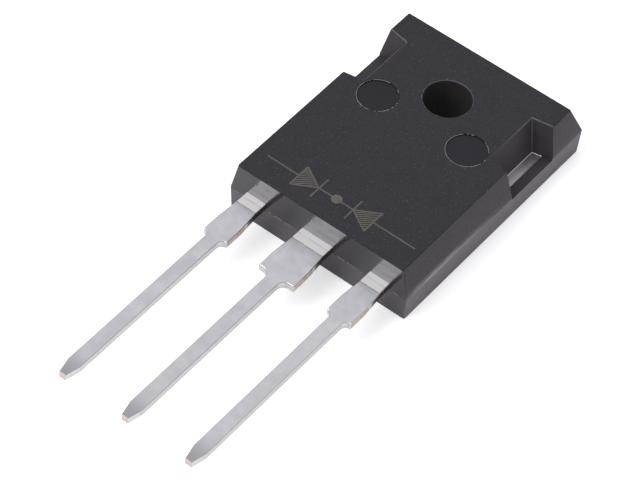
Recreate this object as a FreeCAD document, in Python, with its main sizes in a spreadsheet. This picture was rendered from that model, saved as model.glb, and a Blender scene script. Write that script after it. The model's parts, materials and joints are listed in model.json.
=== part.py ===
import FreeCAD, Part
import math
import os
import Sketcher

# Dual rectifier diode with a common cathode, in the flat three-lead power package with a screw hole.
# Millimetres. +Z up from the heatsink face, +Y from the leads towards the screw hole, +X across the leads.
# The origin is where the screw hole's axis meets the heatsink face.

doc = FreeCAD.newDocument("rectifier_diode")
sizes = doc.addObject("Spreadsheet::Sheet", "sizes")

DRIVING_SIZES = {
    # moulded body
    "body_length": 20.9,
    "body_width": 15.65,
    "body_height": 4.9,
    "parting_height": 2.2,
    "side_draft_run": 0.57,
    "front_draft_run": 0.08,
    "back_draft_run": 1.2,
    "lower_side_draft_run": 0.08,
    "lower_end_draft_run": 0.1,
    "front_corner_radius": 0.15,
    "back_corner_radius": 0.12,
    "top_edge_radius": 0.1,
    "hole_to_end": 6.15,
    "hole_diameter": 3.6,
    "mark_diameter": 3.1,
    "mark_spacing": 7.92,
    "mark_from_front": 11.7,
    "mark_depth": 0.08,
    "notch_depth": 1.65,
    "notch_length": 5.0,
    "notch_flare": 0.18,
    "notch_end_draft": 0.12,
    # tab
    "tab_thickness": 2.0,
    "tab_from_side": 0.825,
    "tab_from_front": 3.4,
    "tab_from_back": 1.1,
    "tab_corner": 0.6,
    "lock_step": 0.35,
    "lock_height": 1.1,
    "ring_diameter": 7.2,
    # leads
    "lead_pitch": 5.45,
    "lead_length": 20.3,
    "lead_thickness": 0.6,
    "pin_width": 1.1,
    "outer_shoulder_step": 0.475,
    "centre_shoulder_step": 0.975,
    "shoulder_length": 4.5,
    "shoulder_fillet": 0.6,
    "root_inset": 0.15,
    "root_length": 1.1,
    "root_taper": 1.9,
    "tip_width": 0.55,
    "tip_length": 1.2,
    # bond posts and the step that joins the centre lead to the tab
    "post_from_front": 0.8,
    "post_length": 1.8,
    "post_margin": 0.2,
    "step_run": 1.4,
    "step_shift": 0.16,
    "step_overlap": 0.9,
    # chips, solder and bond wires
    "die_side": 4.2,
    "die_thickness": 0.3,
    "die_gap": 3.2,
    "die_from_tab_edge": 1.2,
    "metal_inset": 0.35,
    "metal_thickness": 0.03,
    "solder_margin": 0.15,
    "solder_thickness": 0.08,
    "wire_diameter": 0.4,
    "wire_foot_gap": 0.4,
    "wire_lift": 0.06,
    "wire_foot_length": 0.8,
    "wire_foot_width": 0.6,
    "wire_foot_height": 0.26,
    "wire_rise_radius": 0.6,
    "wire_cover": 0.85,
    "wire_foot_from_die_edge": 1.3,
}
for row, (alias, size) in enumerate(DRIVING_SIZES.items(), start=1):
    sizes.set(f"A{row}", alias.replace("_", " "))
    sizes.set(f"B{row}", str(size))
    sizes.setAlias(f"B{row}", alias)
doc.recompute()

BOND_WIRES_PER_DIE = 3
BOND_WIRE_SIDES = 8
LARGEST_FILLET_SHARE = 0.95
SIDES = {"left": -1, "right": 1}

# places worked out from the driving sizes, as expressions over the sheet
FRONT = "(sizes.hole_to_end - sizes.body_length)"
BACK = "sizes.hole_to_end"
TAB_FRONT = f"({FRONT} + sizes.tab_from_front)"
TAB_BACK = f"({BACK} - sizes.tab_from_back)"
LEAD_TOP = "(sizes.parting_height + sizes.lead_thickness)"
UPPER_HEIGHT = "(sizes.body_height - sizes.parting_height)"
SIDE_SLOPE = f"(sizes.side_draft_run / {UPPER_HEIGHT})"
TOP_HALF_WIDTH = "(sizes.body_width / 2 - sizes.side_draft_run)"
SOLDER_TOP = "(sizes.tab_thickness + sizes.solder_thickness)"
METAL_TOP = f"({SOLDER_TOP} + sizes.die_thickness + sizes.metal_thickness)"
DIE_MIDDLE = f"({TAB_FRONT} + sizes.die_from_tab_edge + sizes.die_side / 2)"
DIE_FROM_CENTRE = "((sizes.die_gap + sizes.die_side) / 2)"
WIRE_PITCH = "(sizes.wire_foot_width + sizes.wire_foot_gap)"
POST_FRONT = f"({FRONT} + sizes.post_from_front)"
POST_BACK = f"({POST_FRONT} + sizes.post_length)"


def number(expression):
    return float(sizes.evalExpression(expression))


# bodies and sketches

def new_body(name):
    return doc.addObject("PartDesign::Body", name)


def new_sketch(body, name, plane, offset="0"):
    sketch = body.newObject("Sketcher::SketchObject", name)
    origin_planes = [item for item in body.Origin.OriginFeatures if item.Role == plane]
    sketch.AttachmentSupport = [(origin_planes[0], "")]
    sketch.MapMode = "FlatFace"
    sketch.setExpression("AttachmentOffset.Base.z", offset)
    doc.recompute()
    return sketch


def hold(sketch, kind, geometry, point, expression):
    # a horizontal or vertical distance from the sketch's origin, bound to the sheet
    index = sketch.addConstraint(
        Sketcher.Constraint(kind, -1, 1, geometry, point, number(expression)))
    sketch.setExpression(f"Constraints[{index}]", expression)


def outline(sketch, corners):
    # a closed outline of straight sides, each corner a pair of expressions
    points = [FreeCAD.Vector(number(x), number(y), 0) for x, y in corners]
    first = sketch.GeometryCount
    count = len(points)
    for index in range(count):
        side = Part.LineSegment(points[index], points[(index + 1) % count])
        sketch.addGeometry(side)
    for index in range(count):
        following = first + (index + 1) % count
        sketch.addConstraint(Sketcher.Constraint("Coincident", first + index, 2, following, 1))
    for index, (x, y) in enumerate(corners):
        hold(sketch, "DistanceX", first + index, 1, x)
        hold(sketch, "DistanceY", first + index, 1, y)


def rectangle(sketch, x_low, x_high, y_low, y_high):
    outline(sketch, [(x_low, y_low), (x_high, y_low), (x_high, y_high), (x_low, y_high)])


def circle(sketch, x, y, diameter):
    centre = FreeCAD.Vector(number(x), number(y), 0)
    ring = sketch.addGeometry(Part.Circle(centre, FreeCAD.Vector(0, 0, 1), number(diameter) / 2))
    hold(sketch, "DistanceX", ring, 3, x)
    hold(sketch, "DistanceY", ring, 3, y)
    index = sketch.addConstraint(Sketcher.Constraint("Diameter", ring, number(diameter)))
    sketch.setExpression(f"Constraints[{index}]", diameter)


def polygon(sketch, x, y, width_across_flats, sides):
    # a regular outline round a centre, with a flat at the top and the bottom
    corners = []
    for index in range(sides):
        angle = 2 * math.pi * (index + 0.5) / sides
        reach = 0.5 / math.cos(math.pi / sides)
        corners.append((
            f"{x} + {reach * math.sin(angle):.6f} * {width_across_flats}",
            f"{y} + {reach * math.cos(angle):.6f} * {width_across_flats}"))
    outline(sketch, corners)


def pad(body, name, sketch, length, midplane=False):
    feature = body.newObject("PartDesign::Pad", name)
    feature.Profile = sketch
    feature.Midplane = midplane
    feature.setExpression("Length", length)
    doc.recompute()
    return feature


def pocket(body, name, sketch, length, midplane=False, reverse=False):
    feature = body.newObject("PartDesign::Pocket", name)
    feature.Profile = sketch
    feature.Midplane = midplane
    feature.Reversed = reverse
    feature.setExpression("Length", length)
    doc.recompute()
    return feature


def mirror_across_middle(body, name, feature):
    mirrored = body.newObject("PartDesign::Mirrored", name)
    mirrored.Originals = [feature]
    planes = [item for item in body.Origin.OriginFeatures if item.Role == "YZ_Plane"]
    mirrored.MirrorPlane = (planes[0], [""])
    body.Tip = mirrored
    doc.recompute()
    return mirrored


def same(first, second):
    return abs(first - second) < 1e-6


def edges_where(shape, test, standing):
    # names of the edges whose ends all pass the test and that climb, or lie level
    names = []
    for index, edge in enumerate(shape.Edges, start=1):
        ends = [vertex.Point for vertex in edge.Vertexes]
        climbs = not same(ends[0].z, ends[-1].z)
        if climbs == standing and all(test(end) for end in ends):
            names.append(f"Edge{index}")
    return names


def round_edges(body, name, base, edge_names, radius):
    feature = body.newObject("PartDesign::Fillet", name)
    feature.Base = (base, edge_names)
    feature.setExpression("Radius", radius)
    doc.recompute()
    return feature


# moulded body, solid, before its cavity

def build_package_blank():
    body = new_body("package_blank")
    half = "sizes.body_width / 2"
    low_half = f"{half} - sizes.lower_side_draft_run"

    # cross-section over the parting line, run along the length
    section = new_sketch(body, "package_section", "XZ_Plane", f"-({BACK})")
    outline(section, [
        (f"-({low_half})", "0"),
        (low_half, "0"),
        (half, "sizes.parting_height"),
        (TOP_HALF_WIDTH, "sizes.body_height"),
        (f"-{TOP_HALF_WIDTH}", "sizes.body_height"),
        (f"-{half}", "sizes.parting_height"),
    ])
    pad(body, "package_run", section, "sizes.body_length")

    # what the mould's drafted end walls leave out, as a frame round the side profile
    ends = new_sketch(body, "package_ends", "YZ_Plane")
    margin = "sizes.body_height"
    outline(ends, [
        (f"{FRONT} - {margin}", f"-{margin}"),
        (f"{BACK} + {margin}", f"-{margin}"),
        (f"{BACK} + {margin}", f"sizes.body_height + {margin}"),
        (f"{FRONT} - {margin}", f"sizes.body_height + {margin}"),
    ])
    outline(ends, [
        (f"{FRONT} + sizes.lower_end_draft_run", "0"),
        (f"{BACK} - sizes.lower_end_draft_run", "0"),
        (BACK, "sizes.parting_height"),
        (f"{BACK} - sizes.back_draft_run", "sizes.body_height"),
        (f"{FRONT} + sizes.front_draft_run", "sizes.body_height"),
        (FRONT, "sizes.parting_height"),
    ])
    drafted = pocket(body, "end_drafts", ends, "2 * sizes.body_width", midplane=True)

    # the mould's corner roundings
    front_corners = edges_where(drafted.Shape, lambda end: end.y < 0, standing=True)
    front_rounded = round_edges(
        body, "front_corner_rounding", drafted, front_corners, "sizes.front_corner_radius")
    back_corners = edges_where(front_rounded.Shape, lambda end: end.y > 0, standing=True)
    round_edges(body, "back_corner_rounding", front_rounded, back_corners, "sizes.back_corner_radius")

    # side notch: a flared trapezoid that narrows down to the tab
    inner_top = f"({TOP_HALF_WIDTH} - sizes.notch_depth)"
    fall = "(sizes.body_height - sizes.tab_thickness)"
    inner_floor = f"({inner_top} + {SIDE_SLOPE} * {fall})"
    outer = "(sizes.body_width / 2 + sizes.notch_depth)"
    half_top = "(sizes.notch_length / 2)"
    half_floor = f"({half_top} - sizes.notch_end_draft * {fall})"
    levels = []
    for level, inner, reach, height in (
            ("floor", inner_floor, half_floor, "sizes.tab_thickness"),
            ("mouth", inner_top, half_top, "sizes.body_height")):
        sketch = new_sketch(body, f"notch_{level}", "XY_Plane", height)
        far_reach = f"({reach} + sizes.notch_flare * ({outer} - {inner}))"
        outline(sketch, [
            (inner, f"-{reach}"),
            (outer, f"-{far_reach}"),
            (outer, far_reach),
            (inner, reach),
        ])
        levels.append(sketch)
    notch = body.newObject("PartDesign::SubtractiveLoft", "right_notch")
    notch.Profile = levels[0]
    notch.Sections = [levels[1]]
    notch.Ruled = True
    doc.recompute()
    notched = mirror_across_middle(body, "left_notch", notch)

    # the top edge is rounded all the way, round the notches too
    top = number("sizes.body_height")
    rim = edges_where(notched.Shape, lambda end: same(end.z, top), standing=False)
    round_edges(body, "top_edge_rounding", notched, rim, "sizes.top_edge_radius")

    # screw hole and the two ejector pin marks
    hole = new_sketch(body, "screw_hole_outline", "XY_Plane")
    circle(hole, "0", "0", "sizes.hole_diameter")
    pocket(body, "screw_hole", hole, "sizes.body_height", reverse=True)
    mark = new_sketch(body, "mark_outline", "XY_Plane", "sizes.body_height")
    circle(mark, "sizes.mark_spacing / 2", f"{FRONT} + sizes.mark_from_front", "sizes.mark_diameter")
    right_mark = pocket(body, "right_ejector_mark", mark, "sizes.mark_depth")
    mirror_across_middle(body, "left_ejector_mark", right_mark)
    return body


# leads

def shoulder_half_width(step):
    return f"(sizes.pin_width / 2 + {step})"


def lead_outline(middle, step, inner_corners):
    # plan of one lead from its pointed tip to its root, then round what it carries inside the body
    def across(half_width):
        return f"{middle} - {half_width}", f"{middle} + {half_width}"
    tip = f"({FRONT} - sizes.lead_length)"
    stations = [
        ("sizes.tip_width / 2", tip),
        ("sizes.pin_width / 2", f"{tip} + sizes.tip_length"),
        ("sizes.pin_width / 2", f"{FRONT} - sizes.shoulder_length"),
        (shoulder_half_width(step), f"{FRONT} - sizes.shoulder_length"),
        (shoulder_half_width(step), f"{FRONT} - sizes.root_length - sizes.root_taper"),
        (f"({shoulder_half_width(step)} - sizes.root_inset)", f"{FRONT} - sizes.root_length"),
    ]
    left_side = [(across(half)[0], y) for half, y in stations]
    right_side = [(across(half)[1], y) for half, y in stations]
    return right_side + inner_corners + left_side[::-1]


def round_shoulder(body, base, middle, step):
    # the concave corners where the pin steps out to its shoulder, no larger than the step allows
    x_middle = number(middle)
    half = number("sizes.pin_width / 2")
    y_step = number(f"{FRONT} - sizes.shoulder_length")
    corners = edges_where(
        base.Shape,
        lambda end: same(abs(end.x - x_middle), half) and same(end.y, y_step),
        standing=True)
    radius = f"min(sizes.shoulder_fillet; {LARGEST_FILLET_SHARE} * {step})"
    return round_edges(body, f"{body.Name}_shoulders", base, corners, radius)


def build_anode_lead(side_name, side):
    body = new_body(f"{side_name}_anode_lead")
    middle = f"({side} * sizes.lead_pitch)"
    step = "sizes.outer_shoulder_step"
    root_half = f"({shoulder_half_width(step)} - sizes.root_inset)"
    wires_reach = f"({(BOND_WIRES_PER_DIE - 1) / 2} * {WIRE_PITCH} + sizes.wire_foot_width / 2)"
    near_edge = f"({side} * ({DIE_FROM_CENTRE} - {wires_reach} - sizes.post_margin))"
    far_edge = f"({side} * (sizes.lead_pitch + {root_half} + sizes.post_margin))"
    right_edge, left_edge = (far_edge, near_edge) if side > 0 else (near_edge, far_edge)
    post = [
        (f"{middle} + {root_half}", POST_FRONT),
        (right_edge, POST_FRONT),
        (right_edge, POST_BACK),
        (left_edge, POST_BACK),
        (left_edge, POST_FRONT),
        (f"{middle} - {root_half}", POST_FRONT),
    ]
    plan = new_sketch(body, f"{side_name}_lead_plan", "XY_Plane", "sizes.parting_height")
    outline(plan, lead_outline(middle, step, post))
    strip = pad(body, f"{side_name}_lead_strip", plan, "sizes.lead_thickness")
    round_shoulder(body, strip, middle, step)
    return body


def build_tab():
    body = new_body("tab_with_cathode_lead")
    half = "(sizes.body_width / 2 - sizes.tab_from_side)"
    levels = (
        ("heatsink_face", "sizes.lock_step", "0", "sizes.lock_height"),
        ("chip_face", "0", "sizes.lock_height", "sizes.tab_thickness - sizes.lock_height"),
    )
    for level, inset, height, thickness in levels:
        sketch = new_sketch(body, f"{level}_outline", "XY_Plane", height)
        reach = f"({half} - {inset})"
        low, high = f"({TAB_FRONT} + {inset})", f"({TAB_BACK} - {inset})"
        cut = "sizes.tab_corner"
        outline(sketch, [
            (f"-{reach} + {cut}", low),
            (f"{reach} - {cut}", low),
            (reach, f"{low} + {cut}"),
            (reach, f"{high} - {cut}"),
            (f"{reach} - {cut}", high),
            (f"-{reach} + {cut}", high),
            (f"-{reach}", f"{high} - {cut}"),
            (f"-{reach}", f"{low} + {cut}"),
        ])
        pad(body, f"{level}_plate", sketch, thickness)
    ring = new_sketch(body, "ring_outline", "XY_Plane")
    circle(ring, "0", "0", "sizes.ring_diameter")
    pocket(body, "ring_opening", ring, "sizes.tab_thickness", reverse=True)

    # the thin strip steps down from the lead's level to the tab's upper face
    step = "sizes.centre_shoulder_step"
    root_half = f"({shoulder_half_width(step)} - sizes.root_inset)"
    step_start = f"({TAB_FRONT} - sizes.step_run)"
    step_end = f"({TAB_FRONT} + sizes.step_overlap)"
    profile = new_sketch(body, "step_profile", "YZ_Plane")
    outline(profile, [
        (POST_FRONT, "sizes.parting_height"),
        (step_start, "sizes.parting_height"),
        (TAB_FRONT, "sizes.tab_thickness - sizes.lead_thickness"),
        (step_end, "sizes.tab_thickness - sizes.lead_thickness"),
        (step_end, "sizes.tab_thickness"),
        (f"{TAB_FRONT} + sizes.step_shift", "sizes.tab_thickness"),
        (f"{step_start} + sizes.step_shift", LEAD_TOP),
        (POST_FRONT, LEAD_TOP),
    ])
    pad(body, "step", profile, f"2 * {root_half}", midplane=True)

    plan = new_sketch(body, "centre_lead_plan", "XY_Plane", "sizes.parting_height")
    inner_end = [(root_half, POST_FRONT), (f"-{root_half}", POST_FRONT)]
    outline(plan, lead_outline("0", step, inner_end))
    strip = pad(body, "centre_lead_strip", plan, "sizes.lead_thickness")
    round_shoulder(body, strip, "0", step)
    return body


# chips and their solder

def build_square(name, side, level, layers):
    # a square chip or solder layer over the chip's place, bottom first: each layer's width and thickness
    body = new_body(name)
    height = level
    for index, (width, thickness) in enumerate(layers, start=1):
        sketch = new_sketch(body, f"{name}_outline_{index}", "XY_Plane", height)
        rectangle(
            sketch,
            f"{side} * {DIE_FROM_CENTRE} - ({width}) / 2", f"{side} * {DIE_FROM_CENTRE} + ({width}) / 2",
            f"{DIE_MIDDLE} - ({width}) / 2", f"{DIE_MIDDLE} + ({width}) / 2")
        pad(body, f"{name}_layer_{index}", sketch, thickness)
        height = f"{height} + {thickness}"
    return body


# bond wires

def arch_centre(rise_centre, fall_centre, reach):
    # centre of the arch, which lies below the rise's and fall's centres at the same reach from both
    half_span = (fall_centre - rise_centre) / 2
    drop = math.sqrt(reach ** 2 - half_span.Length ** 2)
    below = FreeCAD.Vector(half_span.y, -half_span.x, 0).normalize()
    return rise_centre + half_span + below * drop


def arc_between(centre, radius, start, end, clockwise):
    # the shorter arc from start to end round centre
    first = math.atan2(start.y - centre.y, start.x - centre.x)
    last = math.atan2(end.y - centre.y, end.x - centre.x)
    if clockwise:
        first, last = last, first
    ring = Part.Circle(centre, FreeCAD.Vector(0, 0, 1), radius)
    return Part.ArcOfCircle(ring, first, last)


def build_bond_wire(name, side, order):
    body = new_body(name)
    offset = f"({order - (BOND_WIRES_PER_DIE + 1) / 2} * {WIRE_PITCH})"
    x_wire = f"({side} * ({DIE_FROM_CENTRE} + {offset}))"
    foot = "sizes.wire_foot_length"
    rise = "sizes.wire_rise_radius"
    axis_over_pad = "(sizes.wire_lift + sizes.wire_diameter / 2)"
    post_level = f"({LEAD_TOP} + {axis_over_pad})"
    die_level = f"({METAL_TOP} + {axis_over_pad})"
    post_start = f"({POST_FRONT} + (sizes.post_length - {foot}) / 2)"
    die_end = f"({DIE_MIDDLE} + sizes.die_side / 2 - sizes.wire_foot_from_die_edge)"

    # the arch's radius, from the span between the two bends and the loop's height over its feet
    bend_run = f"({die_end} - {post_start} - 2 * {foot})"
    half_span = f"(sqrt({bend_run} ^ 2 + ({die_level} - {post_level}) ^ 2) / 2)"
    crown = "(sizes.body_height - sizes.wire_cover - sizes.wire_diameter / 2)"
    loop = f"({crown} - ({post_level} + {die_level}) / 2)"
    arch = f"({half_span} ^ 2 / (2 * {loop}) + {loop} / 2 - {rise})"

    # the wire's line: foot, rise, arch, fall, foot
    line = new_sketch(body, f"{name}_line", "YZ_Plane", x_wire)
    foot_length, radius, arch_radius = number(foot), number(rise), number(arch)
    first_point = FreeCAD.Vector(number(post_start), number(post_level), 0)
    last_point = FreeCAD.Vector(number(die_end), number(die_level), 0)
    run = FreeCAD.Vector(foot_length, 0, 0)
    lift = FreeCAD.Vector(0, radius, 0)
    rise_start, fall_end = first_point + run, last_point - run
    rise_centre, fall_centre = rise_start + lift, fall_end + lift
    middle = arch_centre(rise_centre, fall_centre, radius + arch_radius)
    rise_end = rise_centre + FreeCAD.Vector(middle - rise_centre).normalize() * radius
    fall_start = fall_centre + FreeCAD.Vector(middle - fall_centre).normalize() * radius
    line.addGeometry(Part.LineSegment(first_point, rise_start))
    line.addGeometry(arc_between(rise_centre, radius, rise_start, rise_end, False))
    line.addGeometry(arc_between(middle, arch_radius, rise_end, fall_start, True))
    line.addGeometry(arc_between(fall_centre, radius, fall_start, fall_end, False))
    line.addGeometry(Part.LineSegment(fall_end, last_point))
    for joint in ((0, 2, 1, 1), (1, 2, 2, 2), (2, 1, 3, 1), (3, 2, 4, 1)):
        line.addConstraint(Sketcher.Constraint("Tangent", *joint))
    line.addConstraint(Sketcher.Constraint("Horizontal", 0))
    line.addConstraint(Sketcher.Constraint("Horizontal", 4))
    for geometry, size in ((1, rise), (2, arch), (3, rise)):
        index = line.addConstraint(Sketcher.Constraint("Radius", geometry, number(size)))
        line.setExpression(f"Constraints[{index}]", size)
    hold(line, "DistanceX", 0, 1, post_start)
    hold(line, "DistanceY", 0, 1, post_level)
    hold(line, "DistanceX", 0, 2, f"{post_start} + {foot}")
    hold(line, "DistanceX", 4, 1, f"{die_end} - {foot}")
    hold(line, "DistanceX", 4, 2, die_end)
    hold(line, "DistanceY", 4, 2, die_level)

    section = new_sketch(body, f"{name}_section", "XZ_Plane", f"-({post_start})")
    polygon(section, x_wire, post_level, "sizes.wire_diameter", BOND_WIRE_SIDES)
    wire = body.newObject("PartDesign::AdditivePipe", f"{name}_run")
    wire.Profile = section
    wire.Spine = line
    doc.recompute()

    # the wedge-bonded feet, pressed flat on the post and on the chip
    for place, y_low, level in (
            ("post", post_start, LEAD_TOP),
            ("die", f"({die_end} - {foot})", METAL_TOP)):
        pressed = new_sketch(body, f"{name}_{place}_foot_outline", "XY_Plane", level)
        half_width = "sizes.wire_foot_width / 2"
        rectangle(pressed, f"{x_wire} - {half_width}", f"{x_wire} + {half_width}", y_low, f"{y_low} + {foot}")
        pad(body, f"{name}_{place}_foot", pressed, "sizes.wire_foot_height")
    return body


# assembly

blank = build_package_blank()
inner_pieces = [build_tab()]
for side_name, side in SIDES.items():
    inner_pieces.append(build_anode_lead(side_name, side))
    inner_pieces.append(build_square(
        f"{side_name}_die_solder", side, "sizes.tab_thickness",
        [("sizes.die_side + 2 * sizes.solder_margin", "sizes.solder_thickness")]))
    inner_pieces.append(build_square(
        f"{side_name}_die", side, SOLDER_TOP,
        [("sizes.die_side", "sizes.die_thickness"),
         ("sizes.die_side - 2 * sizes.metal_inset", "sizes.metal_thickness")]))
    for order in range(1, BOND_WIRES_PER_DIE + 1):
        inner_pieces.append(build_bond_wire(f"{side_name}_bond_wire_{order}", side, order))

# the moulding takes the form of everything that it was moulded round
moulded_round = doc.addObject("Part::MultiFuse", "moulded_round")
moulded_round.Shapes = inner_pieces
moulded_body = doc.addObject("Part::Cut", "moulded_body")
moulded_body.Base = blank
moulded_body.Tool = moulded_round
doc.recompute()

sub_parts = [moulded_body] + inner_pieces
for item in doc.Objects:
    if "Invalid" in item.State or "Error" in item.State:
        raise SystemExit(f"{item.Name} failed: {item.State}")
for sub_part in sub_parts:
    sub_part.Label = sub_part.Name
    shape = sub_part.Shape
    if shape.isNull() or not shape.isValid() or len(shape.Solids) != 1:
        raise SystemExit(f"{sub_part.Label} is not one valid solid")

os.makedirs("parts", exist_ok=True)
for sub_part in sub_parts:
    sub_part.Shape.exportStep(f"parts/{sub_part.Label}.step")
    print(f"{sub_part.Label}: {sub_part.Shape.Volume:.3f} mm3")
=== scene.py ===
# Dual rectifier diode in a flat three-lead power package, lying on its heatsink face.
# The imported CAD pieces are the frame. This file gives them soft edges and finishes, and adds the
# circuit symbol, the mould flash, a painted highlight of light flakes round the screw hole and the small
# beads in the notches.
import json
import math
from contextlib import contextmanager

import bmesh
import bpy
from mathutils import Matrix, Vector


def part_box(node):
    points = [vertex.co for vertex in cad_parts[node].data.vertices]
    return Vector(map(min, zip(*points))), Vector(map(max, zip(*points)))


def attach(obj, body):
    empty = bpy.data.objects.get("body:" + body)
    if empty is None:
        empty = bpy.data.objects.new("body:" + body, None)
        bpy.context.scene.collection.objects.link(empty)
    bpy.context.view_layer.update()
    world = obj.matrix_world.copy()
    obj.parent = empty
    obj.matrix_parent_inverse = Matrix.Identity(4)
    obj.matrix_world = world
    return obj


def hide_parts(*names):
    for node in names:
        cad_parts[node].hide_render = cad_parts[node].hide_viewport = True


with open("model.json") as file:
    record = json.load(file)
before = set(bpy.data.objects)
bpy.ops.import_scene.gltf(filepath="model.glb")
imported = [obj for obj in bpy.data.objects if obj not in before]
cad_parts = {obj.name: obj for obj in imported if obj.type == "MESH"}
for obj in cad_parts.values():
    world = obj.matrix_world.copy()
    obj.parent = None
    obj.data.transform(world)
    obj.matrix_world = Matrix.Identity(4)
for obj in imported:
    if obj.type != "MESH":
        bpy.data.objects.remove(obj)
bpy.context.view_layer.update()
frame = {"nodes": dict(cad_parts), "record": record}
scene = bpy.context.scene
mm = 0.001

# places read off the frame, in metres
bodyLow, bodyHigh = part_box("moulded_body")
leadLow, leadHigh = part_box("left_anode_lead")
mounts = {mount["name"]: mount for mount in frame["record"]["mounts"]}
leadMiddles = [mounts[name]["pos_m"][0] for name in ("left_anode_pin", "cathode_pin", "right_anode_pin")]
holeRadius = mounts["screw_hole"]["dims"]["r_mm"] * mm
frontY, backY, topZ, halfWidth = bodyLow.y, bodyHigh.y, bodyHigh.z, bodyHigh.x
partingZ, leadTopZ, tipY = leadLow.z, leadHigh.z, leadLow.y
print("frame loaded:", len(frame["nodes"]), "nodes")


# small helpers for node trees

def tone(red, green, blue):
    # a colour as an eye reads it, 0 to 255, made linear
    def linear(value):
        value /= 255
        return value / 12.92 if value <= 0.04045 else ((value + 0.055) / 1.055) ** 2.4
    return (linear(red), linear(green), linear(blue), 1)


def feed(tree, node, inputs):
    # each input gets a value, or a link from another node's output
    for name, value in inputs.items():
        if isinstance(value, bpy.types.NodeSocket):
            tree.links.new(value, node.inputs[name])
        else:
            node.inputs[name].default_value = value


def add(tree, kind, inputs=None, **settings):
    node = tree.nodes.new(kind)
    for name, value in settings.items():
        setattr(node, name, value)
    feed(tree, node, inputs or {})
    return node


def calc(tree, operation, *terms, clamp=False):
    inputs = dict(enumerate(terms))
    return add(tree, "ShaderNodeMath", inputs, operation=operation, use_clamp=clamp).outputs[0]


def plus(tree, first, second):
    return calc(tree, "ADD", first, second)


def minus(tree, first, second):
    return calc(tree, "SUBTRACT", first, second)


def times(tree, first, second):
    return calc(tree, "MULTIPLY", first, second)


def over(tree, first, second):
    return calc(tree, "DIVIDE", first, second)


def spread(tree, value, fromLow, fromHigh, toLow=0.0, toHigh=1.0, smooth=False):
    inputs = dict(enumerate((value, fromLow, fromHigh, toLow, toHigh)))
    kind = "SMOOTHSTEP" if smooth else "LINEAR"
    return add(tree, "ShaderNodeMapRange", inputs, clamp=True, interpolation_type=kind).outputs[0]


def blend(tree, factor, first, second):
    inputs = {0: factor, 6: first, 7: second}
    return add(tree, "ShaderNodeMix", inputs, data_type="RGBA", clamp_factor=True).outputs[2]


def blendValue(tree, factor, first, second):
    inputs = {0: factor, 2: first, 3: second}
    return add(tree, "ShaderNodeMix", inputs, data_type="FLOAT", clamp_factor=True).outputs[0]


def noise(tree, vector, scale, detail=2.0, rough=0.5):
    inputs = {"Vector": vector, "Scale": scale, "Detail": detail, "Roughness": rough}
    return add(tree, "ShaderNodeTexNoise", inputs).outputs["Fac"]


def stretch(tree, vector, along):
    return add(tree, "ShaderNodeVectorMath", {0: vector, 1: along}, operation="MULTIPLY").outputs[0]


def around(value, changes):
    return [value + change for change in changes]


# effects that several finishes use, and the numbers that shape them

noiseSpan = (0.3, 0.7)  # most of a noise texture's values lie in here
grainMix = {"detail": 3, "rough": 0.6, "pitDensity": 0.7, "pitShare": 0.5, "cloudDetail": 4}
streakMix = {"broadDetail": 3, "broadRough": 0.65, "broadShare": 0.65, "fineScale": 3.1, "fineShare": 0.35}
bandMix = {"detail": 3, "rough": 0.6, "thresholds": (0.22, 0.78), "ragged": (-0.05, 0.08)}


def newTree(kind, name, inputs, outputs):
    # an empty node group with its sockets, each given by its name, its kind and perhaps a value
    tree = bpy.data.node_groups.new(name, kind)
    for way, sockets in (("INPUT", inputs), ("OUTPUT", outputs)):
        for socketName, socketKind, *values in sockets:
            socket = tree.interface.new_socket(socketName, in_out=way, socket_type="NodeSocket" + socketKind)
            for value in values:
                socket.default_value = value
    return tree, add(tree, "NodeGroupInput").outputs, add(tree, "NodeGroupOutput")


def newGroup(name, inputs, outputs):
    # an effect that takes a place in millimetres and gives numbers
    numbers = [(output, "Float") for output in outputs]
    return newTree("ShaderNodeTree", name, [("Vector", "Vector"), *inputs], numbers)


def buildMouldGrain():
    # the eroded texture that a mould leaves on epoxy, with broad cloudy patches under it
    tree, given, result = newGroup(
        "mouldGrain", [("Grain Size", "Float", 0.09), ("Cloud Size", "Float", 1.6)], ["Height", "Cloud"])
    perGrain = over(tree, 1, given["Grain Size"])
    fine = noise(tree, given["Vector"], perGrain, grainMix["detail"], grainMix["rough"])
    pitScale = over(tree, grainMix["pitDensity"], given["Grain Size"])
    pits = add(tree, "ShaderNodeTexVoronoi", {"Vector": given["Vector"], "Scale": pitScale})
    depth = times(tree, pits.outputs["Distance"], grainMix["pitShare"])
    perCloud = over(tree, 1, given["Cloud Size"])
    cloud = noise(tree, given["Vector"], perCloud, grainMix["cloudDetail"], grainMix["rough"])
    feed(tree, result, {"Height": plus(tree, depth, fine), "Cloud": cloud})
    return tree


def buildScatteredSpecks():
    # small dots, strewn at random: filler grains in the epoxy, pits in the plating
    tree, given, result = newGroup("scatteredSpecks", [
        ("Spacing", "Float", 0.3), ("Dot Size", "Float", 0.03),
        ("Share", "Float", 0.3)], ["Mask", "Strength"])
    perCell = over(tree, 1, given["Spacing"])
    cells = add(tree, "ShaderNodeTexVoronoi", {"Vector": given["Vector"], "Scale": perCell}).outputs
    reach = over(tree, given["Dot Size"], given["Spacing"])
    dot = calc(tree, "SUBTRACT", 1, over(tree, cells["Distance"], reach), clamp=True)
    chance = add(tree, "ShaderNodeSeparateColor", {"Color": cells["Color"]}).outputs
    chosen = calc(tree, "LESS_THAN", chance[0], given["Share"])
    mask = times(tree, calc(tree, "SQRT", dot), chosen)
    feed(tree, result, {"Mask": mask, "Strength": chance[1]})
    return tree


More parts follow.
